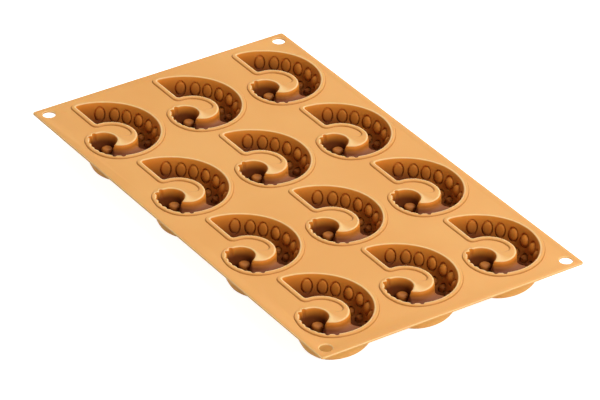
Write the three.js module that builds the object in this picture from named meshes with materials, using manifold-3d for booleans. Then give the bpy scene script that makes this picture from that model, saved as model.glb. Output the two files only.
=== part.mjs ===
// A silicone cake mould: one flexible sheet with a grid of cavities, each shaped like a curled
// tentacle with suckers on its outer wall. Millimetres and degrees, +Z up, the origin on the
// surface it stands on, under the middle of the sheet.
import * as THREE from "three";
import { mergeVertices } from "three/addons/utils/BufferGeometryUtils.js";
import Module from "manifold-3d";

const wasm = await Module();
wasm.setup();

// The flat sheet that carries the cups
const SHEET_THICKNESS = 1.4;
const SHEET_CORNER_RADIUS = 1.6;
const HANGING_HOLE_DIAMETER = 7.5;
const HANGING_HOLE_INSET = 7.2; // from both edges to the hole's centre

// The grid that the cavities lie on, with the gaps between openings and the margins round them
const COLUMNS = 4;
const ROWS = 3;
const COLUMN_GAP = 10;
const ROW_GAP = 10;
const LEFT_MARGIN = 9.2;
const RIGHT_MARGIN = 12.84;
const BACK_MARGIN = 7;
const FRONT_MARGIN = 9.89;

// The cavity's opening, a curl drawn in polar form about its centre
const CURL_RADIUS = 37.5; // out to the outer wall, at the flat base
const BASE_DROP = 1.5; // the flat base lies this far below the curl's centre
const TONGUE_TIP_WIDTH = 2.8; // of the tongue between the curl's two arms, at its end

// The cup that hangs under the sheet
const CUP_HEIGHT = 18.4; // from the surface it stands on to the sheet's top
const WALL = 1.6;
const FLOOR_THICKNESS = 1.8;
const BOTTOM_ROUND = 5; // how far the outside draws in at the bottom
const BOTTOM_ROUND_HEIGHT = 7;

// The raised rim round each opening
const RIM_WIDTH = 3.4;
const RIM_HEIGHT = 0.9;
const RIM_SLOPE = 0.8; // width of each sloping side
const RIM_CORNER_RADIUS = 2.6;

// The suckers, a row of oval ring grooves along the outer wall, and the peg in the round end
const SUCKER_COUNT = 6;
const SUCKER_ROW_INSET = 14; // along the outer wall, from the flat base to the first one
const SUCKER_PITCH = 8.4;
const SUCKER_WIDTH = 7;
const SUCKER_HEIGHT = 9.2;
const SUCKER_RISE = 0.2; // from where the bottom's rounding starts to the suckers' lower ends
const SUCKER_GROOVE_WIDTH = 1.1;
const SUCKER_GROOVE_DEPTH = 0.6;
const PEG_DIAMETER = 5.3;
const PEG_TOP_DEPTH = 5; // from the sheet's top to the peg's highest point
const PEG_SHIFT_X = 0.4; // from the middle of the round end
const PEG_SHIFT_Y = 1.7;

// The curl's outer and inner wall as shares of its radius, one every WALL_STEP_ANGLE round from the
// flat base. The outer wall runs on into the bulb, the circle that is the curl's round end.
const BASE_ANGLE = 180;
const WALL_STEP_ANGLE = 30;
const outerShares = [1, 0.935, 0.866, 0.793, 0.732, 0.69, 0.648, 0.603, 0.49, 0.392];
const innerShares = [0.392, 0.381, 0.375, 0.381, 0.396, 0.405, 0.387, 0.328];
const OUTER_WALL_END_ANGLE = BASE_ANGLE - WALL_STEP_ANGLE * (outerShares.length - 1);
const BULB_ANGLE = 70; // from the outer wall's end to the bulb's middle
const OUTER_POINT_COUNT = 15;
const INNER_POINT_COUNT = 8;
const BULB_NEAR_POINT_COUNT = 2; // from the outer wall to the bulb's left side
const BULB_FAR_POINT_COUNT = 5; // from there to the tongue
const TIP_POINT_COUNT = 2;

// Where the tongue between the curl's two arms ends, as an angle about the curl's centre
const OPENING_TONGUE_ANGLE = -22;
const CUP_TONGUE_ANGLE = 0;
const RIM_TONGUE_ANGLE = 82;

const OVERRUN = SHEET_THICKNESS; // how far cutting shapes reach past what they cut
const SHEET_TOP = CUP_HEIGHT;
const SHEET_UNDERSIDE = SHEET_TOP - SHEET_THICKNESS;

const polar = (radius, degrees) =>
  new THREE.Vector2(
    radius * Math.cos(THREE.MathUtils.degToRad(degrees)),
    radius * Math.sin(THREE.MathUtils.degToRad(degrees)),
  );

// A wall's radius at an angle, read from a smooth curve through its shares
function radiusAt(shares, degrees) {
  const curve = new THREE.SplineCurve(shares.map((share, i) => new THREE.Vector2(i, share)));
  const steps = (BASE_ANGLE - degrees) / WALL_STEP_ANGLE;
  return CURL_RADIUS * curve.getPoint(steps / (shares.length - 1)).y;
}

// Points at equal angles along the outer or the inner wall, moved by an offset, from its corner at
// the flat base round to an angle
function wallPoints(shares, offset, baseDrop, to, count) {
  const points = [new THREE.Vector2(-radiusAt(shares, BASE_ANGLE) - offset, -baseDrop)];
  for (let i = 1; i < count; i++) {
    const degrees = THREE.MathUtils.lerp(BASE_ANGLE, to, i / (count - 1));
    points.push(polar(radiusAt(shares, degrees) + offset, degrees));
  }
  return points;
}

// The bulb's circle touches the outer wall's end and leaves the tongue its width at its tip
const outerEnd = polar(radiusAt(outerShares, OUTER_WALL_END_ANGLE), OUTER_WALL_END_ANGLE);
const innerTipRadius = radiusAt(innerShares, OPENING_TONGUE_ANGLE);
const tongueTip = polar(innerTipRadius - TONGUE_TIP_WIDTH, OPENING_TONGUE_ANGLE);
const toTip = tongueTip.sub(outerEnd);
const BULB_RADIUS = toTip.lengthSq() / toTip.dot(polar(1, BULB_ANGLE)) / 2;
const bulb = polar(BULB_RADIUS, BULB_ANGLE).add(outerEnd);

// Where a ray from the curl's centre leaves the bulb's circle
function bulbCrossing(bulbRadius, degrees) {
  const ray = polar(1, degrees);
  const along = ray.dot(bulb);
  const reach = along + Math.sqrt(along ** 2 - bulb.lengthSq() + bulbRadius ** 2);
  return ray.multiplyScalar(reach);
}

// Points along a circle's arc, its end points left out
function arcPoints(centre, radius, from, to, count) {
  const points = [];
  for (let i = 1; i <= count; i++)
    points.push(polar(radius, THREE.MathUtils.lerp(from, to, i / (count + 1))).add(centre));
  return points;
}

const angleOf = (from, to) => THREE.MathUtils.radToDeg(Math.atan2(to.y - from.y, to.x - from.x));

// A wall's points with its sharp corner at the flat base turned into an arc
function roundedCorner(wall, radius, side) {
  const corner = wall[0];
  const centre = new THREE.Vector2(corner.x + side * radius, corner.y + radius);
  const from = side > 0 ? -90 : 270;
  const arc = arcPoints(centre, radius, from, from - side * 90, 2);
  return [new THREE.Vector2(centre.x, corner.y), ...arc, ...wall.slice(1)];
}

// The curl's outline grown outwards by a distance, clockwise, in two runs: from the outer corner of
// the flat base to the bulb's left side, and from there round the tongue to the base's inner corner
function curlRuns(grow, tongueAngle, cornerRadius) {
  const drop = BASE_DROP + grow;
  let outer = wallPoints(outerShares, grow, drop, OUTER_WALL_END_ANGLE, OUTER_POINT_COUNT);
  let inner = wallPoints(innerShares, -grow, drop, tongueAngle, INNER_POINT_COUNT);
  const bulbRadius = BULB_RADIUS + grow;
  const tongueSide = bulbCrossing(bulbRadius, tongueAngle);
  const bulbFrom = angleOf(bulb, outer.at(-1));
  const bulbTo = angleOf(bulb, tongueSide) - 360;
  const tip = new THREE.Vector2().addVectors(tongueSide, inner.at(-1)).multiplyScalar(1 / 2);
  const tipRadius = tongueSide.distanceTo(inner.at(-1)) / 2;
  const tipFrom = angleOf(tip, tongueSide);
  if (cornerRadius) outer = roundedCorner(outer, cornerRadius, 1);
  if (cornerRadius) inner = roundedCorner(inner, cornerRadius, -1);
  const outerRun = [
    ...outer,
    ...arcPoints(bulb, bulbRadius, bulbFrom, -180, BULB_NEAR_POINT_COUNT),
    new THREE.Vector2(bulb.x - bulbRadius, bulb.y),
  ];
  const tongueRun = [
    ...arcPoints(bulb, bulbRadius, -180, bulbTo, BULB_FAR_POINT_COUNT),
    tongueSide,
    ...arcPoints(tip, tipRadius, tipFrom, tipFrom + 180, TIP_POINT_COUNT),
    ...inner.reverse(),
  ];
  return [outerRun, tongueRun];
}

const counterclockwise = (...runs) => runs.flat().reverse();

const [openingOuterRun, openingTongueRun] = curlRuns(0, OPENING_TONGUE_ANGLE, 0);
const openingOutline = counterclockwise(openingOuterRun, openingTongueRun);
const cupOutline = counterclockwise(...curlRuns(WALL, CUP_TONGUE_ANGLE, 0));
const rimOutline = counterclockwise(...curlRuns(RIM_WIDTH, RIM_TONGUE_ANGLE, RIM_CORNER_RADIUS));

// The opening and the tongue between its arms meet the rest of the sheet in this outline, and the
// tongue alone fills the second one
const cutOutOutline = counterclockwise(openingOuterRun, openingTongueRun.at(-1));
const tongueOutline = [openingOuterRun.at(-1), ...openingTongueRun];

// The sheet is as large as the openings, their gaps and the margins make it
const opening = new THREE.Box2().setFromPoints(openingOutline);
const COLUMN_PITCH = opening.max.x - opening.min.x + COLUMN_GAP;
const ROW_PITCH = opening.max.y - opening.min.y + ROW_GAP;
const SHEET_LENGTH = LEFT_MARGIN + COLUMNS * COLUMN_PITCH - COLUMN_GAP + RIGHT_MARGIN;
const SHEET_WIDTH = BACK_MARGIN + ROWS * ROW_PITCH - ROW_GAP + FRONT_MARGIN;

// A closed three.js geometry as a solid that can be joined and cut
function solidOf(geometry) {
  const bare = new THREE.BufferGeometry().setAttribute("position", geometry.getAttribute("position"));
  bare.setIndex(geometry.index);
  const merged = mergeVertices(bare);
  return new wasm.Manifold(
    new wasm.Mesh({
      numProp: 3,
      vertProperties: merged.attributes.position.array,
      triVerts: new Uint32Array(merged.index.array),
    }),
  );
}

function geometryOf(solid) {
  const mesh = solid.getMesh();
  const geometry = new THREE.BufferGeometry();
  geometry.setAttribute("position", new THREE.BufferAttribute(mesh.vertProperties, 3));
  geometry.setIndex(new THREE.BufferAttribute(mesh.triVerts, 1));
  geometry.computeVertexNormals();
  return geometry;
}

// A wide flat block between two heights, to trim a cup or a rim with
function slab(low, high) {
  const block = new THREE.BoxGeometry(SHEET_LENGTH, SHEET_WIDTH, high - low);
  block.translate(0, 0, (low + high) / 2);
  return solidOf(block);
}

// A curl-shaped block with a rounded bottom: its floor is at a height and it runs past the sheet
function curlBlock(outline, floor, draw, roundHeight, roundSteps) {
  const block = new THREE.ExtrudeGeometry(new THREE.Shape(outline), {
    depth: SHEET_TOP + OVERRUN - floor - roundHeight,
    steps: 1,
    bevelThickness: roundHeight,
    bevelSize: draw,
    bevelOffset: -draw,
    bevelSegments: roundSteps,
  });
  block.translate(0, 0, floor + roundHeight);
  return solidOf(block);
}

// One oval ring groove, pointing out along +Z, its middle at the origin
function suckerCutter() {
  const halfWidth = SUCKER_WIDTH / 2;
  const halfHeight = SUCKER_HEIGHT / 2;
  const oval = new THREE.EllipseCurve(0, 0, halfWidth, halfHeight);
  const island = new THREE.EllipseCurve(
    0,
    0,
    halfWidth - SUCKER_GROOVE_WIDTH,
    halfHeight - SUCKER_GROOVE_WIDTH,
  );
  const ring = new THREE.Shape(oval.getPoints(8).slice(1));
  ring.holes.push(new THREE.Path(island.getPoints(6).slice(1)));
  const cutter = new THREE.ExtrudeGeometry(ring, {
    depth: OVERRUN + SUCKER_GROOVE_DEPTH,
    bevelEnabled: false,
  });
  cutter.translate(0, 0, -OVERRUN);
  return cutter;
}

// The suckers' cutters in a row along the outer wall, each square to it
function suckerCutters() {
  const points = wallPoints(outerShares, 0, BASE_DROP, OUTER_WALL_END_ANGLE, OUTER_POINT_COUNT);
  const wall = new THREE.SplineCurve(points);
  const length = wall.getLength();
  const up = new THREE.Vector3(0, 0, 1);
  const height = BOTTOM_ROUND_HEIGHT + SUCKER_RISE + SUCKER_HEIGHT / 2;
  const cutters = [];
  for (let i = 0; i < SUCKER_COUNT; i++) {
    const share = (SUCKER_ROW_INSET + i * SUCKER_PITCH) / length;
    const place = wall.getPointAt(share);
    const tangent = wall.getTangentAt(share);
    const out = new THREE.Vector3(-tangent.y, tangent.x, 0);
    const along = new THREE.Vector3().crossVectors(up, out);
    const matrix = new THREE.Matrix4().makeBasis(along, up, out);
    matrix.setPosition(place.x, place.y, height);
    cutters.push(solidOf(suckerCutter().applyMatrix4(matrix)));
  }
  return cutters;
}

// The round-topped peg that stands on the floor of the round end
function peg() {
  const radius = PEG_DIAMETER / 2;
  const top = SHEET_TOP - PEG_TOP_DEPTH;
  const foot = FLOOR_THICKNESS / 2;
  const profile = [new THREE.Vector2(0, foot), new THREE.Vector2(radius, foot)];
  const dome = new THREE.EllipseCurve(0, top - radius, radius, radius, 0, Math.PI / 2);
  dome.getPoints(2).forEach((point) => profile.push(point));
  profile[profile.length - 1].x = 0;
  const body = new THREE.LatheGeometry(profile, 8);
  body.rotateX(Math.PI / 2);
  body.translate(bulb.x + PEG_SHIFT_X, bulb.y + PEG_SHIFT_Y, 0);
  return solidOf(body);
}

function cupGeometry() {
  const draw = BOTTOM_ROUND - WALL;
  const outside = curlBlock(cupOutline, 0, BOTTOM_ROUND, BOTTOM_ROUND_HEIGHT, 2);
  const roundHeight = BOTTOM_ROUND_HEIGHT - FLOOR_THICKNESS;
  let cavity = curlBlock(openingOutline, FLOOR_THICKNESS, draw, roundHeight, 2);
  for (const cutter of suckerCutters()) cavity = cavity.add(cutter);
  const cup = outside.subtract(cavity).add(peg());
  return geometryOf(cup.intersect(slab(-OVERRUN, SHEET_UNDERSIDE)));
}

function rimGeometry() {
  const band = new THREE.Shape(rimOutline);
  band.holes.push(new THREE.Path(openingOutline));
  const rim = new THREE.ExtrudeGeometry(band, {
    depth: OVERRUN,
    steps: 1,
    bevelThickness: RIM_HEIGHT,
    bevelSize: RIM_SLOPE,
    bevelOffset: -RIM_SLOPE,
    bevelSegments: 1,
  });
  rim.translate(0, 0, SHEET_TOP - OVERRUN);
  return geometryOf(solidOf(rim).intersect(slab(SHEET_TOP, SHEET_TOP + OVERRUN + RIM_HEIGHT)));
}

// The curl centres, row by row from the back left
function gridPlaces() {
  const firstX = LEFT_MARGIN - SHEET_LENGTH / 2 - opening.min.x;
  const firstY = SHEET_WIDTH / 2 - BACK_MARGIN - opening.max.y;
  const places = [];
  for (let row = 0; row < ROWS; row++)
    for (let column = 0; column < COLUMNS; column++)
      places.push({
        name: `row${row + 1}_column${column + 1}`,
        x: firstX + column * COLUMN_PITCH,
        y: firstY - row * ROW_PITCH,
      });
  return places;
}

// A flat piece of the sheet, as thick as the sheet
function sheetPiece(shape) {
  const piece = new THREE.ExtrudeGeometry(shape, {
    depth: SHEET_THICKNESS,
    bevelEnabled: false,
    curveSegments: 3,
  });
  piece.translate(0, 0, SHEET_UNDERSIDE);
  return geometryOf(solidOf(piece));
}

function sheetGeometry() {
  const halfLength = SHEET_LENGTH / 2;
  const halfWidth = SHEET_WIDTH / 2;
  const radius = SHEET_CORNER_RADIUS;
  const outline = new THREE.Shape();
  outline.absarc(halfLength - radius, halfWidth - radius, radius, 0, Math.PI / 2);
  outline.absarc(radius - halfLength, halfWidth - radius, radius, Math.PI / 2, Math.PI);
  outline.absarc(radius - halfLength, radius - halfWidth, radius, Math.PI, -Math.PI / 2);
  outline.absarc(halfLength - radius, radius - halfWidth, radius, -Math.PI / 2, 0);
  const holeX = halfLength - HANGING_HOLE_INSET;
  const holeY = halfWidth - HANGING_HOLE_INSET;
  for (const [x, y] of [[holeX, holeY], [-holeX, holeY], [-holeX, -holeY], [holeX, -holeY]]) {
    const hole = new THREE.EllipseCurve(x, y, HANGING_HOLE_DIAMETER / 2, HANGING_HOLE_DIAMETER / 2);
    outline.holes.push(new THREE.Path(hole.getPoints(16).slice(1)));
  }
  for (const place of gridPlaces()) {
    const shift = new THREE.Vector2(place.x, place.y);
    outline.holes.push(new THREE.Path(cutOutOutline.map((point) => point.clone().add(shift))));
  }
  return sheetPiece(outline);
}

const silicone = (color) => new THREE.MeshStandardMaterial({ color, roughness: 0.6, metalness: 0 });

const mould = new THREE.Group();

const sheet = new THREE.Mesh(sheetGeometry(), silicone(0xf0b26c));
sheet.name = "sheet";
mould.add(sheet);

const cavityParts = [
  { name: "cup", geometry: cupGeometry(), color: 0xd99748 },
  { name: "rim", geometry: rimGeometry(), color: 0xf5bd7a },
  { name: "tongue", geometry: sheetPiece(new THREE.Shape(tongueOutline)), color: 0xf0b26c },
];
for (const place of gridPlaces()) {
  const cavity = new THREE.Group();
  cavity.position.set(place.x, place.y, 0);
  for (const part of cavityParts) {
    const mesh = new THREE.Mesh(part.geometry, silicone(part.color));
    mesh.name = `${part.name}_${place.name}`;
    cavity.add(mesh);
  }
  mould.add(cavity);
}

export default mould;
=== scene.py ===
import math

import bmesh
import bpy
import numpy as np
from mathutils import Matrix, Vector


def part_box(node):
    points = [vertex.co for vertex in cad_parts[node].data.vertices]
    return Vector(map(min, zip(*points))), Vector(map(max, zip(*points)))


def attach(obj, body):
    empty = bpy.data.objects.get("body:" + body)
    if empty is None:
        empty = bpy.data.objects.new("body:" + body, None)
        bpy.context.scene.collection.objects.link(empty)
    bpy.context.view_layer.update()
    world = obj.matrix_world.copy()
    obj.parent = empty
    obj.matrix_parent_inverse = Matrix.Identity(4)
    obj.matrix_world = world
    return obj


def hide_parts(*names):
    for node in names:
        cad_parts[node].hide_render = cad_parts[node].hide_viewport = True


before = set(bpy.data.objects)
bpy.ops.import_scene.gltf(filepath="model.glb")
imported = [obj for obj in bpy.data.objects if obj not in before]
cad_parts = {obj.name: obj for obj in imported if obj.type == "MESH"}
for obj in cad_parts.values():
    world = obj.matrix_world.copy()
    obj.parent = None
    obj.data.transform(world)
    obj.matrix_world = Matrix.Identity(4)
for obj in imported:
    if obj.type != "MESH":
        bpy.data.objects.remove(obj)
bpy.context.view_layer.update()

mm = 0.001

# one curl-shaped cavity, in mm about the curl's centre, depths below the sheet's top
curl = {
    "radius": 37.5,
    "baseDrop": 1.5,
    "tongueTipWidth": 2.8,
    "outerShares": [1, 0.935, 0.866, 0.793, 0.732, 0.69, 0.648, 0.603, 0.49, 0.392],
    "innerShares": [0.392, 0.381, 0.375, 0.381, 0.396, 0.405, 0.387, 0.328],
    "shareStep": 30,  # degrees between two shares
    "bulbAngle": 70,  # from the outer wall's end to the middle of the round end
    "bulbSplit": 160,  # where the track ends on the round end's circle, in degrees
    "bulbArcEnd": -335,  # where the run of points that the track is cut from ends
    "armLength": 135,  # along the outer wall: past it the track is on the round end
    "tongueAngle": -22,  # where the tongue between the two arms ends
    "tipReach": 0.72,  # how far the tongue's end bulges, as a share of its width
    "cupTongueAngle": 0,
    "cutTongueAngle": 70,
    "cutOutwards": 2.0,  # the sheet's cut-out runs under the rim, this far outside the opening
    "cornerSize": 1.5,
    "wall": 1.6,
    "height": 18.4,
    "cavityDepth": 16.6,
    "cavityRoundFrom": 8.6,
    "cavityDrawIn": 3.3,
    "floorReach": 6,  # how far the wall's profile goes on over the floor
    "cupRoundFrom": 9.6,
    "cupDrawIn": 4.6,
    "draft": 0.035,
    "mouthFlare": 0.26,  # the wall opens softly towards the rim
    "mouthDepth": 0.9,
    "lean": 0.13,  # how much more the wall with the suckers leans in
    "leanDepth": 12,
    "sheetThickness": 1.4,
    "smoothAngle": 48,
}
# the tongue's end below the sheet's top: depth, angle. Its point overhangs a little
tongueEnds = [
    (0, -22), (0.7, -20), (1.4, -16.5), (2.1, -15), (2.8, -15.5), (3.9, -18), (5.4, -22), (8, -23.5),
    (17, -23.5),
]
# the cavity grows shallow past the bend: angle round the curl's centre, share of the full depth
depthShares = [
    (-48, 1), (-40, 0.84), (-33, 0.4), (-27, 0.22), (10, 0.21), (28, 0.21), (34, 0.27), (42, 0.6),
    (51, 0.9), (62, 1),
]
pitRadius = (9.4, 11.4)  # nearer the curl's centre than this the round end keeps its full depth

# the rim's section, from its foot on the sheet over the bead into the cavity:
# distance outwards from the opening, height, angle where this line turns back round the tongue
rimSection = [
    (3.45, 0.0, 82), (3.36, 0.1, 82), (3.24, 0.4, 81), (3.02, 0.68, 79), (2.7, 0.84, 76),
    (2.25, 0.89, 68), (1.8, 0.9, 50), (1.4, 0.9, 28), (1.05, 0.87, 6), (0.78, 0.79, -7),
    (0.55, 0.63, -14), (0.38, 0.4, -19), (0.27, 0.1, -21.5), (0.2, -0.25, -22),
]

# suckers on the outer wall, from the flat base on: place along the wall, width, height, how far
# down the wall the middle is, depth of the ring groove, height of the dome inside it
suckers = [
    (14.4, 7.2, 10.0, 6.4, 1.3, 0.4),
    (23.3, 7.1, 9.8, 6.8, 1.35, 0.45),
    (31.0, 7.1, 9.8, 6.9, 1.4, 0.55),
    (39.5, 7.5, 9.4, 6.9, 1.6, 1.2),
    (48.6, 8.3, 9.2, 6.8, 1.7, 1.9),
    (58.0, 8.3, 9.2, 6.8, 1.8, 2.2),
    (66.7, 7.4, 8.8, 6.7, 1.6, 1.9),
    (74.6, 5.8, 8.0, 6.5, 1.3, 1.5),
    (80.8, 4.9, 7.0, 6.1, 1.0, 1.0),
    (86.1, 4.2, 6.2, 5.8, 0.8, 0.6),
    (90.7, 3.6, 5.4, 5.5, 0.6, 0.5),
    (94.7, 2.6, 4.6, 5.2, 0.5, 0.4),
    (97.7, 2.4, 4.0, 5.0, 0.4, 0.3),
]
# the second row, where the wall turns into the floor
lowSuckers = [
    (19.0, 5.8, 5.4, 17.0, 1.0, 0.8),
    (27.0, 5.8, 5.4, 17.1, 1.1, 0.9),
    (35.0, 5.8, 5.4, 17.2, 1.2, 1.1),
    (44.0, 6.8, 6.4, 16.0, 1.6, 2.1),
    (53.3, 7.2, 6.4, 16.0, 1.7, 2.3),
    (62.4, 7.0, 6.4, 16.0, 1.7, 2.2),
    (70.6, 5.2, 4.8, 16.8, 1.1, 1.3),
]
# one sucker's section from its edge to its middle: share of its half width, of its groove's depth
# and of its dome's height
suckerSection = [
    (1.0, 0.0, 0.0), (0.985, 0.45, 0.0), (0.96, 0.88, 0.0), (0.93, 1.0, 0.0), (0.82, 1.0, 0.0),
    (0.79, 0.85, 0.0), (0.76, 0.5, 0.05), (0.73, 0.15, 0.14), (0.69, 0.0, 0.3), (0.62, 0.0, 0.48),
    (0.52, 0.0, 0.67), (0.38, 0.0, 0.84), (0.22, 0.0, 0.95), (0.1, 0.0, 0.99),
]
# small suckers round the tip that bite into the opening's edge: place along the wall, depth
notches = [
    (104.2, 2.0), (109.1, 1.9), (114.0, 0.4), (118.2, 0.5), (122.2, 0.6), (126.0, 0.9), (129.9, 1.0),
    (135.3, 1.5), (138.9, 1.5),
]
notchWidth = 2.1
# how strongly a ring of the curl shows them: by its height, and by its distance outwards on the rim
notchByHeight = [(-5.0, 0), (-2.5, 0.8), (-0.5, 1)]
notchByOutwards = [
    (0.2, 1), (0.42, 0.9), (0.7, 0.75), (1.0, 0.6), (1.4, 0.45), (1.8, 0.3), (2.25, 0.15), (2.65, 0),
]

# how many points make the outer wall before it is evened out, the even steps and the smoothing
trackSteps = {"corner": 16, "wall": 1600, "arc": 400, "length": 0.1, "smooth": 12}


def lookUp(value, table):  # straight lines between a table's pairs
    return np.interp(value, *zip(*table))


def polar(radius, degrees):
    angle = np.radians(degrees)
    return np.stack([radius * np.cos(angle), radius * np.sin(angle)], -1)


def radiusAt(shares, degrees):
    steps = np.clip((180 - np.asarray(degrees, float)) / curl["shareStep"], 0, len(shares) - 1)
    first = np.minimum(steps.astype(int), len(shares) - 2)
    part = steps - first
    values = np.array(shares)
    a, b, c, d = (values[np.clip(first + k, 0, len(shares) - 1)] for k in (-1, 0, 1, 2))
    slopeB, slopeC = (c - a) / 2, (d - b) / 2
    cubic = (2 * b - 2 * c + slopeB + slopeC) * part**3 + (3 * c - 3 * b - 2 * slopeB - slopeC) * part**2
    return curl["radius"] * (cubic + slopeB * part + b)


def sides(points):  # unit normals on the left of an open run of points
    along = np.gradient(points, axis=0)
    along /= np.linalg.norm(along, axis=1)[:, None]
    return np.stack([-along[:, 1], along[:, 0]], -1)


def placeBulb():  # the circle that touches the outer wall's end and leaves the tongue its width
    outerEnd = polar(radiusAt(curl["outerShares"], -90), -90)
    tipRadius = radiusAt(curl["innerShares"], curl["tongueAngle"]) - curl["tongueTipWidth"]
    toTip = polar(tipRadius, curl["tongueAngle"]) - outerEnd
    towards = polar(1, curl["bulbAngle"])
    radius = toTip @ toTip / (2 * toTip @ towards)
    return outerEnd + radius * towards, radius


bulb, bulbRadius = placeBulb()


def makeTrack():  # the outer wall from its corner at the flat base, round the bulb
    rises = np.linspace(0, 1, trackSteps["corner"])
    corner = np.array([[-curl["radius"], -curl["baseDrop"] * (1 - rise)] for rise in rises])
    degrees = np.linspace(180, -90, trackSteps["wall"])[1:]
    wall = polar(radiusAt(curl["outerShares"], degrees), degrees)
    start = curl["bulbAngle"] - 180
    arc = np.linspace(start, curl["bulbArcEnd"], trackSteps["arc"])[1:]
    points = np.concatenate([corner, wall, bulb + polar(bulbRadius, arc)])
    length = np.concatenate([[0], np.cumsum(np.linalg.norm(np.diff(points, axis=0), axis=1))])
    even = np.arange(0, length[-1], trackSteps["length"])
    points = np.stack([np.interp(even, length, points[:, k]) for k in (0, 1)], -1)
    reach = trackSteps["smooth"]
    kernel = np.exp(-((np.arange(-reach, reach + 1) / (reach / 2)) ** 2))
    kernel /= kernel.sum()
    before = 2 * points[0] - points[reach:0:-1]
    after = 2 * points[-1] - points[-2:-reach - 2:-1]
    padded = np.concatenate([before, points, after])
    points = np.stack([np.convolve(padded[:, k], kernel, "valid") for k in (0, 1)], -1)
    return even, points, sides(points)


trackLength, trackPoints, trackSides = makeTrack()
bulbTurn = np.arctan2(trackPoints[:, 1] - bulb[1], trackPoints[:, 0] - bulb[0])
splitAngle = math.radians(curl["bulbSplit"])
trackEnd = float(next(
    place for place, turn in zip(trackLength, bulbTurn)
    if place > curl["armLength"] and 0 < turn < splitAngle
))


def onTrack(place, outwards):
    point = np.stack([np.interp(place, trackLength, trackPoints[:, k]) for k in (0, 1)], -1)
    side = np.stack([np.interp(place, trackLength, trackSides[:, k]) for k in (0, 1)], -1)
    side /= np.linalg.norm(side, axis=-1)[..., None]
    return point + side * np.asarray(outwards)[..., None]


def bulbCrossing(radius, degrees):
    ray = polar(1, degrees)
    along = ray @ bulb
    return ray * (along + math.sqrt(along**2 - bulb @ bulb + radius**2))


def bezier(points, shares):
    t = np.asarray(shares)[:, None]
    while len(points) > 1:
        points = [a * (1 - t) + b * t for a, b in zip(points, points[1:])]
    return points[0]


# how the ring's points are shared out: the track's stretches end midway between suckers
suckerRun = (9.8, 99.4)  # where the suckers begin and end along the track
stretchEnds = [curl["cornerSize"], suckerRun[0]]
stretchEnds += [(a[0] + b[0]) / 2 for a, b in zip(suckers, suckers[1:])]
stretchEnds += [suckerRun[1], trackEnd]
stretchCounts = [8] + [14] * 6 + [12, 12, 10, 10, 10, 8, 8] + [110]
trackPlaces = np.concatenate([
    np.linspace(start, end, count, endpoint=False)
    for start, end, count in zip(stretchEnds, stretchEnds[1:], stretchCounts)
])
counts = {"corner": 6, "bulb": 26, "tip": 14, "inner": 70, "base": 16}
finer = 4  # the tip and the inner wall take their normals from a run so many times finer


def notchDepth(place):
    return sum(depth * np.exp(-(((place - at) / notchWidth * 2) ** 4)) for at, depth in notches)


def suckerShare(place):  # 1 along the arm with the two rows of suckers, 0 at its corner and tip
    return lookUp(place, [(2, 0), (13, 1), (66, 1), (88, 0)])


# the curl's outline moved outwards by a distance, clockwise; leaning moves the suckers' wall inwards
def ringAt(outwards, tongueAngle, tipGrow=None, notch=0.0, leaning=0.0):
    grow = outwards if tipGrow is None else tipGrow
    shift = max(0.0, -outwards)
    size = curl["cornerSize"] + max(0.0, outwards)
    shares = np.linspace(0, 1, counts["corner"], endpoint=False)
    start = curl["cornerSize"] + shift
    edge = -curl["radius"] - outwards
    base = -curl["baseDrop"] - outwards
    baseEnd = np.array([edge + size, base])
    outerCorner = bezier([baseEnd, np.array([edge, base]), onTrack(start, outwards)], shares)
    first, second = stretchEnds[:2]
    places = np.where(
        trackPlaces < second,
        start + (trackPlaces - first) * (second - start) / (second - first),
        trackPlaces,
    )
    track = onTrack(places, outwards + notch * notchDepth(places) - leaning * suckerShare(places))
    turnBack = bulbCrossing(bulbRadius + grow, tongueAngle)
    fromBulb = turnBack - bulb
    bulbTo = math.degrees(math.atan2(fromBulb[1], fromBulb[0]))
    turns = np.linspace(curl["bulbSplit"], bulbTo, counts["bulb"], endpoint=False)
    bulbTop = bulb + polar(bulbRadius + outwards, turns)
    leaving = polar(1, bulbTo - 90)
    innerEnd = polar(radiusAt(curl["innerShares"], tongueAngle) - grow, tongueAngle)
    near = np.array([tongueAngle, tongueAngle + 1.0])
    arriving = np.diff(polar(radiusAt(curl["innerShares"], near), near), axis=0)[0]
    arriving /= np.linalg.norm(arriving)
    reach = curl["tipReach"] * np.linalg.norm(innerEnd - turnBack)
    fine = np.linspace(0, 1, finer * counts["tip"] + 1)
    tip = bezier([turnBack, turnBack + leaving * reach, innerEnd - arriving * reach, innerEnd], fine)
    tip = (tip + sides(tip) * (outwards - grow))[:-1:finer]
    innerRadius = radiusAt(curl["innerShares"], 180) - outwards
    backAngle = 180 - math.degrees(math.asin(shift / innerRadius))
    degrees = np.linspace(tongueAngle, backAngle, finer * counts["inner"] + 1)
    inner = polar(radiusAt(curl["innerShares"], degrees), degrees)
    inner = (inner + sides(inner) * outwards)[:-1:finer]
    baseStart = np.array([-innerRadius - size, base])
    innerCorner = bezier(
        [polar(innerRadius, backAngle), np.array([-innerRadius, base]), baseStart], shares
    )
    basePart = np.linspace(0, 1, counts["base"], endpoint=False)[:, None]
    baseRun = baseStart * (1 - basePart) + baseEnd * basePart
    return np.concatenate([outerCorner, track, bulbTop, tip, inner, innerCorner, baseRun])


ringCount = len(ringAt(0, curl["tongueAngle"]))


def drawIn(depth, start, end, amount):  # an elliptical rounding towards the bottom
    part = np.clip((depth - start) / (end - start), 0, 1)
    return amount * (1 - np.sqrt(1 - part**2))


def cavityGrow(depth):  # how far outwards of the opening's outline the cavity's wall is
    flare = curl["mouthFlare"] * math.exp(-depth / curl["mouthDepth"])
    rounding = drawIn(depth, curl["cavityRoundFrom"], curl["cavityDepth"], curl["cavityDrawIn"])
    return flare - curl["draft"] * max(depth, 0) - rounding


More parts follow.
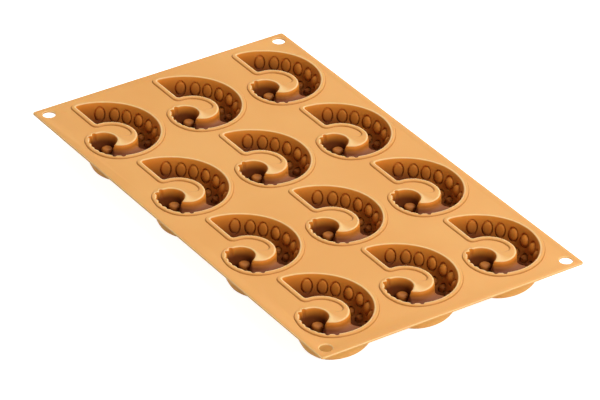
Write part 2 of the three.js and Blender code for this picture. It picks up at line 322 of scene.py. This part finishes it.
def cupGrow(depth):
    top = curl["sheetThickness"]
    rounding = drawIn(depth, curl["cupRoundFrom"], curl["height"], curl["cupDrawIn"])
    return curl["wall"] - curl["draft"] * max(depth - top, 0) - rounding


def roundDepths(start, end, steps):  # even steps round the quarter ellipse
    return [start + (end - start) * math.sin(math.pi / 2 * k / steps) for k in range(1, steps + 1)]


def makeProfile():  # down the cavity's wall and over its floor: length, depth, way outwards
    start, end = curl["cavityRoundFrom"], curl["cavityDepth"]
    straight = np.linspace(0, start, 100, endpoint=False)
    depths = np.array([*straight, start, *roundDepths(start, end, 200), end])
    grow = np.array([cavityGrow(depth) for depth in depths])
    grow[-1] -= curl["floorReach"]
    length = np.concatenate([[0], np.cumsum(np.hypot(np.diff(depths), np.diff(grow)))])
    return length, depths, grow


profileLength, profileDepth, profileGrow = makeProfile()
wallLength = profileLength[-2]
# the rings' lengths down the cavity's wall and on over its floor, and the cup's depths outside
cavityRows = [0.25, 0.8, 1.4, 2.1, 2.8, 3.6, 4.4, 5.2, 6.0, 6.8, 7.7, 8.6]
cavityRows += [float(down) for down in np.linspace(cavityRows[-1], wallLength, 14)[1:]]
cavityRows += [wallLength + step for step in (0.5, 1.1, 1.8, 2.6)]
wallRows = cavityRows[:0:-1]  # from the floor up, as the rings go
cupRows = [2.6, 4.0, 5.4, 6.8, 8.2, curl["cupRoundFrom"]]
cupRows += roundDepths(curl["cupRoundFrom"], curl["height"], 12)


def wallAt(down):  # depth, way outwards and lean at a length down the wall
    depth = float(np.interp(down, profileLength, profileDepth))
    grow = float(np.interp(min(down, wallLength), profileLength, profileGrow))
    lean = curl["lean"] * min(depth, curl["leanDepth"]) + max(0.0, down - wallLength)
    return depth, grow, lean


def inSteps(section):  # more rings where the tongue's end moves far, so that none of them fold over
    largest = 5  # degrees from one ring to the next
    rings = [section[0]]
    for near, far in zip(section, section[1:]):
        steps = max(1, math.ceil(abs(far[2] - near[2]) / largest))
        rings += [tuple(a + (b - a) * k / steps for a, b in zip(near, far)) for k in range(1, steps + 1)]
    return rings


def notchShare(height, outwards=0.0):
    return float(lookUp(height, notchByHeight)) * float(lookUp(outwards, notchByOutwards))


def curlRings():  # from the cavity's floor up over the rim and down the outside
    rings = []
    for down in wallRows:
        depth, grow, lean = wallAt(down)
        tongue = float(lookUp(depth, tongueEnds))
        rings.append((ringAt(grow, tongue, 0, notchShare(-depth), lean), -depth, True))
    rimBottom = rimSection[-1][1]
    cut, cutTongue, lower = curl["cutOutwards"], curl["cutTongueAngle"], -curl["sheetThickness"]
    under = [(cut, 0.0, cutTongue), (cut, lower, cutTongue)]
    under += [(1.9, lower - 0.02, 40), (1.8, lower - 0.05, 15), (1.7, lower - 0.3, 5)]
    for outwards, height, tongue in inSteps(rimSection[::-1] + under):
        notch = notchShare(height, outwards) if height >= rimBottom else 0.0
        rings.append((ringAt(outwards, tongue, None, notch), height))
    for depth in cupRows:
        rings.append((ringAt(cupGrow(depth), curl["cupTongueAngle"], curl["wall"]), -depth))
    return rings


def depthShare(points):
    angle = np.degrees(np.arctan2(points[..., 1], points[..., 0]))
    share = lookUp(angle, depthShares)
    radius = np.hypot(points[..., 0], points[..., 1])
    return 1 - (1 - share) * np.interp(radius, pitRadius, [0, 1])


def toWorld(points, height, shallow=False):
    heights = height * depthShare(points) if shallow else np.full(len(points), height)
    return np.column_stack([points, heights + curl["height"]]) * mm


def selectEdges(mesh, wanted):
    bpy.ops.mesh.select_mode(type="EDGE")
    bpy.ops.mesh.select_all(action="DESELECT")
    bm = bmesh.from_edit_mesh(mesh)
    for edge in bm.edges:
        if wanted(edge):
            edge.select_set(True)
    bmesh.update_edit_mesh(mesh)


def extrudeRing(mesh, number, points):  # the selected ring's edges go on to the next ring
    bpy.ops.mesh.extrude_region_move()
    bm = bmesh.from_edit_mesh(mesh)
    column, row = bm.verts.layers.int["column"], bm.verts.layers.int["row"]
    for vert in bm.verts:
        if vert.select:
            vert.co = points[vert[column]]
            vert[row] = number
    bmesh.update_edit_mesh(mesh)


def closeRing(mesh, number):  # a flat face over the first or last ring
    bpy.ops.mesh.select_all(action="DESELECT")
    bm = bmesh.from_edit_mesh(mesh)
    row = bm.verts.layers.int["row"]
    for edge in bm.edges:
        if all(vert[row] == number for vert in edge.verts):
            edge.select_set(True)
    bmesh.update_edit_mesh(mesh)
    bpy.ops.mesh.edge_face_add()
    bpy.ops.mesh.quads_convert_to_tris()


def setTone(mesh, name, values):
    mesh.attributes.new(name, "FLOAT", "POINT").data.foreach_set("value", values.astype(np.float32))


def toneCurl(mesh, rows):  # for the material's painted light: where the cavity's painted shade goes and how dark, the painted shade at the rim's foot, the painted highlight at its lip, and the painted light outside
    places = np.array([vert.co[:] for vert in mesh.vertices]) / mm
    depth = curl["height"] - places[:, 2]
    rim = inSteps(rimSection[::-1])
    rimFrom = len(cavityRows) - 1
    rimTo = rimFrom + len(rim)
    outwards = np.array([ring[0] for ring in rim])[np.clip(rows - rimFrom, 0, len(rim) - 1)]
    onRim = (rows >= rimFrom) & (rows < rimTo)
    atMouth = lookUp(depth, tones["mouth"]) * (outwards < tones["mouthOutwards"])
    setTone(mesh, "inside", np.where(rows < rimFrom, 1.0, atMouth))
    setTone(mesh, "shade", np.clip(depth / lightReach(places), 0, 1))
    setTone(mesh, "foot", lookUp(outwards, tones["foot"]) * onRim)
    setTone(mesh, "lip", lookUp(outwards, tones["lip"]) * onRim)
    setTone(mesh, "under", rows >= rimTo)


def makeCurl():
    rings = curlRings()
    bpy.ops.object.select_all(action="DESELECT")
    bpy.ops.mesh.primitive_circle_add(vertices=ringCount, radius=curl["radius"] * mm, fill_type="NOTHING")
    obj = bpy.context.object
    mesh = obj.data
    bpy.ops.object.mode_set(mode="EDIT")
    bpy.ops.mesh.select_all(action="SELECT")
    bm = bmesh.from_edit_mesh(mesh)
    for layer in ("column", "row", "sucker"):
        bm.verts.layers.int.new(layer)
    bm.verts.layers.float.new("angle")
    column = bm.verts.layers.int["column"]
    bm.verts.ensure_lookup_table()
    first = toWorld(*rings[0])
    for index, vert in enumerate(bm.verts):
        vert[column] = index
        vert.co = first[index]
    bmesh.update_edit_mesh(mesh)
    for number, ring in enumerate(rings[1:], 1):
        extrudeRing(mesh, number, toWorld(*ring))
    for number in (len(rings) - 1, 0):  # the cup's bottom and the cavity's floor
        closeRing(mesh, number)
    for start in (0, 1):  # neighbours share an edge, so every other one of a row at a time
        makeSuckers(mesh, suckers[start::2])
        makeSuckers(mesh, lowSuckers[start::2])
    bpy.ops.mesh.select_all(action="SELECT")
    bpy.ops.mesh.normals_make_consistent(inside=False)
    bpy.ops.object.mode_set(mode="OBJECT")
    addPeg(obj)
    rows = np.array([item.value for item in mesh.attributes["row"].data])
    for layer in ("column", "row", "sucker", "angle"):
        mesh.attributes.remove(mesh.attributes[layer])
    toneCurl(mesh, rows)
    return obj


# where the material paints shade and highlight, each as a table of place and share
tones = {
    "mouth": [(-0.7, 0), (-0.4, 1)],  # by depth: where the cavity's painted shade sets in on the rim
    "mouthOutwards": 1,  # and only this near the opening
    "foot": [(2.75, 0), (3.1, 0.55), (3.45, 1)],  # painted shade in the rim's foot crease, by distance outwards, as the next
    # painted highlight along the rim's inner edge
    "lip": [(0.4, 0), (0.6, 1), (1.1, 1), (1.7, 0)],
}

# how deep the light reaches, in mm: the narrower the cavity, the less deep
reaches = {
    "pit": 4.7,
    "byAngle": [  # round the curl's centre
        (0, 3.5), (30, 4), (46, 11), (76, 15), (110, 12), (190, 11.5), (215, 4.7), (298, 3.1),
        (328, 3.1), (360, 3.5),
    ],
    "bend": 9,  # so much deeper on the outer wall in the bend, where these two are 1
    "bendByRadius": [(21, 0), (26, 1)],
    "bendByAngle": [(36, 0), (56, 1), (115, 1), (150, 0)],
    "peg": 4,  # and so much deeper on the peg
}


def lightReach(places):
    angle = np.degrees(np.arctan2(places[:, 1], places[:, 0])) % 360
    reach = lookUp(angle, reaches["byAngle"])
    radius = np.hypot(places[:, 0], places[:, 1])
    reach = reach + (reaches["pit"] - reach) * np.interp(radius, pitRadius, [1, 0])
    inBend = lookUp(radius, reaches["bendByRadius"])
    reach += reaches["bend"] * inBend * lookUp(angle, reaches["bendByAngle"])
    fromPeg = np.hypot(places[:, 0] - bulb[0] - peg["shiftX"], places[:, 1] - bulb[1] - peg["shiftY"])
    return reach + reaches["peg"] * (fromPeg < peg["diameter"] / 2 + peg["spare"])


# the peg in the round end, in mm; its foot ends inside the floor
peg = {
    "diameter": 6.8,
    "topDepth": 5.1,
    "shiftX": 0.4,
    "shiftY": 2.2,
    "foot": 0.9,
    "dome": 1.4,
    "spare": 0.05,  # so that all its points count as on it
}


def addPeg(obj):  # a round-topped post joined to the cavity's floor
    top = curl["height"] - peg["topDepth"]
    bpy.ops.object.select_all(action="DESELECT")
    x, y = bulb[0] + peg["shiftX"], bulb[1] + peg["shiftY"]
    bpy.ops.mesh.primitive_cylinder_add(
        vertices=48, radius=peg["diameter"] / 2 * mm, depth=(top - peg["foot"]) * mm,
        location=(x * mm, y * mm, (top + peg["foot"]) / 2 * mm),
    )
    post = bpy.context.object
    bpy.ops.object.transform_apply(location=True, rotation=True, scale=True)
    bpy.ops.object.mode_set(mode="EDIT")
    nearTop = (top - 0.1) * mm
    selectEdges(post.data, lambda edge: all(vert.co.z > nearTop for vert in edge.verts))
    bpy.ops.mesh.bevel(offset=peg["dome"] * mm, segments=8, affect="EDGES")
    bpy.ops.object.mode_set(mode="OBJECT")
    bpy.context.view_layer.objects.active = obj
    join = obj.modifiers.new("peg", "BOOLEAN")
    join.operation = "UNION"
    join.solver = "EXACT"
    join.object = post
    bpy.ops.object.modifier_apply(modifier=join.name)
    bpy.data.objects.remove(post)


def suckerBlock(sucker):  # the columns and rows of the wall's faces that a sucker takes up
    place, width, height, middle = sucker[:4]
    spare = 0.15
    first = max(k for k, at in enumerate(trackPlaces) if at < place - width / 2 - spare)
    last = min(k for k, at in enumerate(trackPlaces) if at > place + width / 2 + spare)
    lower = max(k for k, at in enumerate(wallRows) if at > middle + height / 2 + spare)
    upper = min(k for k, at in enumerate(wallRows) if at < middle - height / 2 - spare)
    return first + counts["corner"], last + counts["corner"], lower, upper


def faceBlock(face, column, row):  # the same of one face, from its corners' layers
    columns = [vert[column] for vert in face.verts]
    levels = [vert[row] for vert in face.verts]
    return min(columns), max(columns), min(levels), max(levels)


def liesIn(inner, outer):
    return all(inner[k] >= outer[k] for k in (0, 2)) and all(inner[k] <= outer[k] for k in (1, 3))


def makeSuckers(mesh, chosen):  # a block of the wall becomes one face, pushed back and out in ovals
    blocks = [suckerBlock(sucker) for sucker in chosen]
    bpy.ops.mesh.select_all(action="DESELECT")
    bpy.ops.mesh.select_mode(type="FACE")
    bm = bmesh.from_edit_mesh(mesh)
    column, row = bm.verts.layers.int["column"], bm.verts.layers.int["row"]
    for face in bm.faces:
        taken = faceBlock(face, column, row)
        if len(face.verts) == 4 and any(liesIn(taken, block) for block in blocks):
            face.select_set(True)
    bmesh.update_edit_mesh(mesh)
    bpy.ops.mesh.dissolve_faces()
    bm = bmesh.from_edit_mesh(mesh)
    layers = bm.verts.layers
    column, row, owner, angle = (
        layers.int["column"], layers.int["row"], layers.int["sucker"], layers.float["angle"]
    )
    for face in bm.faces:
        if not face.select:
            continue
        number = blocks.index(faceBlock(face, column, row))
        place, width, height, middle = chosen[number][:4]
        for vert in face.verts:
            across = (trackPlaces[vert[column] - counts["corner"]] - place) / width
            vert[angle] = math.atan2((middle - wallRows[vert[row]]) / height, across)
            vert[owner] = number
    bmesh.update_edit_mesh(mesh)
    for share, groove, dome in suckerSection:
        bpy.ops.mesh.extrude_region_move()
        bm = bmesh.from_edit_mesh(mesh)
        layers = bm.verts.layers
        column, owner, angle = layers.int["column"], layers.int["sucker"], layers.float["angle"]
        for vert in bm.verts:
            if vert.select:
                place, width, height, middle, grooveDepth, domeHeight = chosen[vert[owner]]
                vert.co = onWall(
                    place + share * width / 2 * math.cos(vert[angle]),
                    middle - share * height / 2 * math.sin(vert[angle]),
                    groove * grooveDepth - dome * domeHeight,
                )
                vert[column] = -1
        bmesh.update_edit_mesh(mesh)
    bpy.ops.mesh.poke()
    bm = bmesh.from_edit_mesh(mesh)
    for vert in bm.verts:
        if vert.select and all(face.select for face in vert.link_faces):
            place, _, _, middle, _, domeHeight = chosen[vert.link_edges[0].other_vert(vert)[owner]]
            vert.co = onWall(place, middle, -domeHeight)
    bmesh.update_edit_mesh(mesh)


def onWall(place, down, back):  # a point of the suckers' wall, pushed back square to it
    depth, grow, lean = wallAt(down)
    step = 0.05
    nextDepth, nextGrow, nextLean = wallAt(down + step)
    share = float(suckerShare(place))
    inwards = (lean - nextLean) * share + nextGrow - grow
    deeper = nextDepth - depth
    size = math.hypot(inwards, deeper)
    point = onTrack(place, grow - lean * share + back * deeper / size)
    level = curl["height"] - depth * float(depthShare(onTrack(place, grow - lean * share)))
    return Vector((point[0], point[1], level + back * inwards / size)) * mm


def finishMesh(obj, angle):
    bpy.ops.object.select_all(action="DESELECT")
    obj.select_set(True)
    bpy.context.view_layer.objects.active = obj
    bpy.ops.object.shade_smooth_by_angle(angle=math.radians(angle))


def copyPiece(obj, name, shift):
    made = bpy.data.objects.new(name, obj.data.copy())
    made.data.name = name
    made.data.transform(Matrix.Translation(shift))
    bpy.context.scene.collection.objects.link(made)
    return made


# where the curl's centres lie, in mm from the sheet's left and back edges
grid = {"columns": 4, "rows": 3, "leftToCentre": 46.7, "backToCentre": 37.113}


def curlCentres():
    low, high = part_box("sheet")
    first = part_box("cup_row1_column1")[0]
    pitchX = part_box("cup_row1_column2")[0].x - first.x
    pitchY = first.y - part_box("cup_row2_column1")[0].y
    startX = low.x + grid["leftToCentre"] * mm
    startY = high.y - grid["backToCentre"] * mm
    return {
        f"row{row + 1}_column{column + 1}": Vector((startX + column * pitchX, startY - row * pitchY, 0))
        for row in range(grid["rows"])
        for column in range(grid["columns"])
    }


centres = curlCentres()
curlMaster = makeCurl()
finishMesh(curlMaster, curl["smoothAngle"])
print("curl", len(curlMaster.data.vertices), "points", len(curlMaster.data.polygons), "faces")

# the flat sheet, in mm
sheet = {
    "cornerRadius": 1.6,
    "fillet": 0.45,
    "holeDiameter": 7.5,
    "holeInset": 7.2,
    "smoothAngle": 35,
    "lipShare": 0.8,  # how much of the fillet gets the painted highlight
    "overrun": 2.0,  # how far a cutter stands out of the sheet above and below
}
sheetLow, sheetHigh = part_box("sheet")
holeInset = sheet["holeInset"] * mm
holes = [
    Vector((x, y))
    for x in (sheetLow.x + holeInset, sheetHigh.x - holeInset)
    for y in (sheetLow.y + holeInset, sheetHigh.y - holeInset)
]


def makeCutters(top, bottom):  # one prism for each cut-out and hole, joined
    over = sheet["overrun"] * mm
    ring = ringAt(curl["cutOutwards"], curl["cutTongueAngle"])
    bpy.ops.object.select_all(action="DESELECT")
    bpy.ops.mesh.primitive_circle_add(vertices=ringCount, radius=curl["radius"] * mm, fill_type="NGON")
    curlCutter = bpy.context.object
    bpy.ops.object.mode_set(mode="EDIT")
    bm = bmesh.from_edit_mesh(curlCutter.data)
    bm.verts.ensure_lookup_table()
    for vert, place in zip(bm.verts, ring):
        vert.co = (place[0] * mm, place[1] * mm, bottom - over)
    bmesh.update_edit_mesh(curlCutter.data)
    bpy.ops.mesh.select_all(action="SELECT")
    bpy.ops.mesh.extrude_region_move(TRANSFORM_OT_translate={"value": (0, 0, top - bottom + 2 * over)})
    bpy.ops.mesh.select_all(action="SELECT")
    bpy.ops.mesh.normals_make_consistent(inside=False)
    bpy.ops.object.mode_set(mode="OBJECT")
    cutters = [copyPiece(curlCutter, f"cutter_{name}", centre) for name, centre in centres.items()]
    bpy.data.objects.remove(curlCutter)
    for hole in holes:
        bpy.ops.mesh.primitive_cylinder_add(
            vertices=48, radius=sheet["holeDiameter"] / 2 * mm, depth=top - bottom + 2 * over,
            location=(hole.x, hole.y, (top + bottom) / 2),
        )
        cutters.append(bpy.context.object)
    bpy.ops.object.select_all(action="DESELECT")
    for cutter in cutters:
        cutter.select_set(True)
    bpy.context.view_layer.objects.active = cutters[0]
    bpy.ops.object.join()
    bpy.ops.object.transform_apply(location=True, rotation=True, scale=True)
    return bpy.context.object


def isBorder(edge):  # a level edge of the outline or of a hole
    low, high = sheetLow, sheetHigh
    a, b = (vert.co for vert in edge.verts)
    tiny = 0.001 * mm
    if abs(a.z - b.z) > tiny:
        return False
    near = 0.3 * sheet["cornerRadius"] * mm + tiny  # the rounded corners' points lie inside the border
    atHole = 0.55 * sheet["holeDiameter"] * mm  # a little more than the hole's radius
    outline = all(min(p.x - low.x, high.x - p.x, p.y - low.y, high.y - p.y) < near for p in (a, b))
    hole = any(max((p.xy - place).length for p in (a, b)) < atHole for place in holes)
    return (outline or hole) and len({abs(face.normal.z) > 0.5 for face in edge.link_faces}) == 2


def toneSheet(mesh):  # painted highlight: its upper border and the holes' edges get the lip's highlight colour
    low, high = sheetLow, sheetHigh
    places = np.array([vert.co[:] for vert in mesh.vertices])
    fromBorder = np.minimum(places - np.array(low), np.array(high) - places)[:, :2].min(axis=1)
    fromHoles = [np.hypot(places[:, 0] - hole.x, places[:, 1] - hole.y) for hole in holes]
    fromHole = np.abs(np.min(fromHoles, axis=0) - sheet["holeDiameter"] / 2 * mm)
    near = np.minimum(fromBorder, fromHole) < sheet["lipShare"] * sheet["fillet"] * mm
    setTone(mesh, "lip", near & (places[:, 2] > (low.z + high.z) / 2))


def makeSheet():
    low, high = sheetLow, sheetHigh
    cutter = makeCutters(high.z, low.z)
    bpy.ops.object.select_all(action="DESELECT")
    middle = ((low.x + high.x) / 2, (low.y + high.y) / 2, low.z)
    bpy.ops.mesh.primitive_plane_add(size=1, location=middle)
    obj = bpy.context.object
    obj.scale = (high.x - low.x, high.y - low.y, 1)
    bpy.ops.object.transform_apply(location=True, rotation=True, scale=True)
    bpy.ops.object.mode_set(mode="EDIT")
    bpy.ops.mesh.select_all(action="SELECT")
    bpy.ops.mesh.bevel(offset=sheet["cornerRadius"] * mm, segments=5, affect="VERTICES")
    bpy.ops.mesh.select_all(action="SELECT")
    bpy.ops.mesh.extrude_region_move(TRANSFORM_OT_translate={"value": (0, 0, high.z - low.z)})
    bpy.ops.mesh.select_all(action="SELECT")
    bpy.ops.mesh.normals_make_consistent(inside=False)
    bpy.ops.object.mode_set(mode="OBJECT")
    cut = obj.modifiers.new("cutOuts", "BOOLEAN")
    cut.operation = "DIFFERENCE"
    cut.solver = "EXACT"
    cut.object = cutter
    bpy.ops.object.modifier_apply(modifier=cut.name)
    bpy.data.objects.remove(cutter)
    bpy.ops.object.mode_set(mode="EDIT")
    selectEdges(obj.data, isBorder)
    bpy.ops.mesh.bevel(offset=sheet["fillet"] * mm, segments=3, affect="EDGES")
    bpy.ops.object.mode_set(mode="OBJECT")
    finishMesh(obj, sheet["smoothAngle"])
    obj.name = "silicone_sheet"
    toneSheet(obj.data)
    return obj


sheetPiece = makeSheet()
print("sheet", len(sheetPiece.data.vertices), "points")


def linear(*rgb):  # an 8-bit screen colour as the shader wants it
    return [
        share / 12.92 if share <= 0.04045 else ((share + 0.055) / 1.055) ** 2.4
        for share in (value / 255 for value in rgb)
    ] + [1]


# the silicone's finish, and the painted shade, highlight and light on it
silicone = {
    "colour": (241, 176, 99),
    "deeperColour": (237, 169, 91),
    "paintedWallShade": (236, 147, 50),  # painted shade at the cavities' walls: a darker, more saturated orange that stands in for light bounced round inside them
    "paintedCavityShade": (118, 59, 21),  # painted shade deep in them, where light reaches less
    "footShadeColour": (190, 120, 54),  # painted shade in the crease round each rim
    "lipHighlightColour": (255, 208, 142),  # painted highlight along its inner edge, the holes and the sheet's border
    "underPaintedLight": (255, 190, 100),  # painted light on the cups' outside, standing in for light coming through the wall
    "roughness": 0.58,
    "specular": 0.22,
    "scatter": 0.15,
    "scatterRadius": (1.0, 0.4, 0.1),
    "scatterScale": 1.5 * mm,
    "cloudScale": 18.0,
    "cloudRange": (0.35, 0.65),
    "grainScale": 1400.0,
    "grainStrength": 0.06,
    "grainDepth": 0.1 * mm,
}


def mixColours(nodes, links, share, first, second):
    mix = nodes.new("ShaderNodeMix")
    mix.data_type = "RGBA"
    links.new(share, mix.inputs["Factor"])
    for socket, colour in (("A", first), ("B", second)):
        if isinstance(colour, tuple):
            mix.inputs[socket].default_value = linear(*colour)
        else:
            links.new(colour, mix.inputs[socket])
    return mix.outputs["Result"]


def addNoise(nodes, links, place, scale, detail):
    noise = nodes.new("ShaderNodeTexNoise")
    noise.inputs["Scale"].default_value = scale
    noise.inputs["Detail"].default_value = detail
    links.new(place.outputs["Object"], noise.inputs["Vector"])
    return noise.outputs["Fac"]


def makeSilicone():
    material = bpy.data.materials.new("silicone_caramel")
    material.use_nodes = True
    nodes, links = material.node_tree.nodes, material.node_tree.links
    shader = nodes["Principled BSDF"]
    place = nodes.new("ShaderNodeTexCoord")
    cloud = addNoise(nodes, links, place, silicone["cloudScale"], 3)
    spread = nodes.new("ShaderNodeMapRange")
    for name, value in zip(("From Min", "From Max"), silicone["cloudRange"]):
        spread.inputs[name].default_value = value
    links.new(cloud, spread.inputs["Value"])
    clouded = spread.outputs["Result"]
    sheetColour = mixColours(nodes, links, clouded, silicone["colour"], silicone["deeperColour"])
    shares = {}
    for name in ("shade", "inside", "foot", "lip", "under"):
        attribute = nodes.new("ShaderNodeAttribute")
        attribute.attribute_name = name
        shares[name] = attribute.outputs["Fac"]
    # painted highlight at the rim's lip and painted shade in its foot's crease
    rimColour = mixColours(nodes, links, shares["lip"], sheetColour, silicone["lipHighlightColour"])
    rimColour = mixColours(nodes, links, shares["foot"], rimColour, silicone["footShadeColour"])
    # painted shade in the cavities: from the walls' painted shade to the deep one, by how deep the light
    # reaches
    paintedWallShade, deepPaintedShade = silicone["paintedWallShade"], silicone["paintedCavityShade"]
    paintedCavityShade = mixColours(nodes, links, shares["shade"], paintedWallShade, deepPaintedShade)
    # painted light on the cups' outside
    outerColour = mixColours(nodes, links, shares["under"], rimColour, silicone["underPaintedLight"])
    colour = mixColours(nodes, links, shares["inside"], outerColour, paintedCavityShade)
    links.new(colour, shader.inputs["Base Color"])
    bump = nodes.new("ShaderNodeBump")
    bump.inputs["Strength"].default_value = silicone["grainStrength"]
    bump.inputs["Distance"].default_value = silicone["grainDepth"]
    links.new(addNoise(nodes, links, place, silicone["grainScale"], 2), bump.inputs["Height"])
    links.new(bump.outputs["Normal"], shader.inputs["Normal"])
    shader.inputs["Roughness"].default_value = silicone["roughness"]
    shader.inputs["Specular IOR Level"].default_value = silicone["specular"]
    shader.inputs["Subsurface Weight"].default_value = silicone["scatter"]
    shader.inputs["Subsurface Radius"].default_value = silicone["scatterRadius"]
    shader.inputs["Subsurface Scale"].default_value = silicone["scatterScale"]
    return material


siliconeFinish = makeSilicone()
sheetPiece.data.materials.clear()
sheetPiece.data.materials.append(siliconeFinish)
curlMaster.data.materials.append(siliconeFinish)

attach(sheetPiece, "root")
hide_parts("sheet")
for name, centre in centres.items():
    cavity = copyPiece(curlMaster, f"curl_{name}", centre)
    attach(cavity, "root")
    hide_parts(f"cup_{name}", f"rim_{name}", f"tongue_{name}")
bpy.data.objects.remove(curlMaster)
print("mould placed")

# the view, fitted to the sheet's corners and holes: degrees, mm and pixels
view = {
    "azimuth": 55.29,
    "elevation": 32.18,
    "roll": 1.31,
    "distance": 2376.29,
    "aside": 0.52,
    "above": 8.33,
    "focal": 4191.62,
    "imageWidth": 600,
    "sensor": 36,
}


def makeCamera():
    azimuth, elevation, roll = (math.radians(view[key]) for key in ("azimuth", "elevation", "roll"))
    flat = math.cos(elevation)
    back = Vector((math.sin(azimuth) * flat, -math.cos(azimuth) * flat, math.sin(elevation)))
    level = Vector((math.cos(azimuth), math.sin(azimuth), 0))
    upright = back.cross(level)
    right = math.cos(roll) * level + math.sin(roll) * upright
    up = -math.sin(roll) * level + math.cos(roll) * upright
    place = back * view["distance"] - right * view["aside"] - up * view["above"]
    place = place * mm + Vector((0, 0, curl["height"] * mm))
    bpy.ops.object.camera_add()
    camera = bpy.context.object
    camera.matrix_world = Matrix.Translation(place) @ Matrix((right, up, back)).transposed().to_4x4()
    camera.data.sensor_width = view["sensor"]
    camera.data.lens = view["focal"] * view["sensor"] / view["imageWidth"]
    camera.data.clip_end = 20
    bpy.context.scene.camera = camera


# lamps: energy in watts, sizes and places in metres
lamps = {
    "key": {"energy": 19, "size": 0.9, "place": (-0.7, 1.15, 1.55), "colour": (1.0, 1.0, 1.0)},
    "side": {"energy": 22, "size": 0.8, "place": (1.45, 0.1, 1.35), "colour": (1.0, 1.0, 1.0)},
}


def makeLamps():
    for name, lamp in lamps.items():
        bpy.ops.object.light_add(type="AREA", location=lamp["place"])
        light = bpy.context.object
        light.name = name
        light.data.shape = "DISK"
        light.data.size = lamp["size"]
        light.data.energy = lamp["energy"]
        light.data.color = lamp["colour"]
        light.rotation_mode = "QUATERNION"
        light.rotation_quaternion = Vector(lamp["place"]).to_track_quat("Z", "Y")


# the soft light round the mould and overhead, by degrees above the floor, and the white floor
studio = {
    "ringLight": 0.32,
    "ringTop": 38,
    "overheadLight": 0.12,
    "overheadFrom": 62,
    "floorSize": 6,
    "floorGap": 0.1,  # in mm, under the cups
    "floorColour": 0.86,
    "floorGlow": 0.88,
}


def showsWhite(nodes, links):  # 1 where the camera, a mirror or glass looks
    path = nodes.new("ShaderNodeLightPath")
    white = path.outputs["Is Camera Ray"]
    for ray in ("Is Glossy Ray", "Is Transmission Ray"):
        either = nodes.new("ShaderNodeMath")
        either.operation = "MAXIMUM"
        links.new(white, either.inputs[0])
        links.new(path.outputs[ray], either.inputs[1])
        white = either.outputs[0]
    return white


def makeWorld():  # a ring of soft light, dimmer overhead
    world = bpy.data.worlds.new("studio")
    world.use_nodes = True
    bpy.context.scene.world = world
    nodes, links = world.node_tree.nodes, world.node_tree.links
    light = nodes["Background"]
    light.inputs["Color"].default_value = (1, 1, 1, 1)
    direction = nodes.new("ShaderNodeTexCoord")
    parts = nodes.new("ShaderNodeSeparateXYZ")
    links.new(direction.outputs["Generated"], parts.inputs[0])
    ring = nodes.new("ShaderNodeMapRange")
    ring.interpolation_type = "SMOOTHSTEP"
    ring.inputs["From Min"].default_value = math.sin(math.radians(studio["ringTop"]))
    ring.inputs["From Max"].default_value = math.sin(math.radians(studio["overheadFrom"]))
    ring.inputs["To Min"].default_value = studio["ringLight"]
    ring.inputs["To Max"].default_value = studio["overheadLight"]
    links.new(parts.outputs["Z"], ring.inputs["Value"])
    links.new(ring.outputs["Result"], light.inputs["Strength"])
    white = nodes.new("ShaderNodeBackground")
    white.inputs["Color"].default_value = (1, 1, 1, 1)
    mix = nodes.new("ShaderNodeMixShader")
    links.new(showsWhite(nodes, links), mix.inputs[0])
    links.new(light.outputs[0], mix.inputs[1])
    links.new(white.outputs[0], mix.inputs[2])
    links.new(mix.outputs[0], nodes["World Output"].inputs["Surface"])


def makeFloor():
    bpy.ops.object.select_all(action="DESELECT")
    bpy.ops.mesh.primitive_plane_add(size=studio["floorSize"], location=(0, 0, -studio["floorGap"] * mm))
    floor = bpy.context.object
    floor.name = "floor"
    material = bpy.data.materials.new("white_floor")
    material.use_nodes = True
    nodes, links = material.node_tree.nodes, material.node_tree.links
    shader = nodes["Principled BSDF"]
    shader.inputs["Base Color"].default_value = (*[studio["floorColour"]] * 3, 1)
    shader.inputs["Roughness"].default_value = 1.0
    shader.inputs["Specular IOR Level"].default_value = 0.0
    shader.inputs["Emission Color"].default_value = (1, 1, 1, 1)
    glow = nodes.new("ShaderNodeMath")
    glow.operation = "MULTIPLY"
    glow.inputs[1].default_value = studio["floorGlow"]
    links.new(showsWhite(nodes, links), glow.inputs[0])
    links.new(glow.outputs[0], shader.inputs["Emission Strength"])
    floor.data.materials.append(material)


makeCamera()
makeLamps()
makeWorld()
makeFloor()
bpy.context.scene.view_settings.view_transform = "Standard"
print("studio ready")
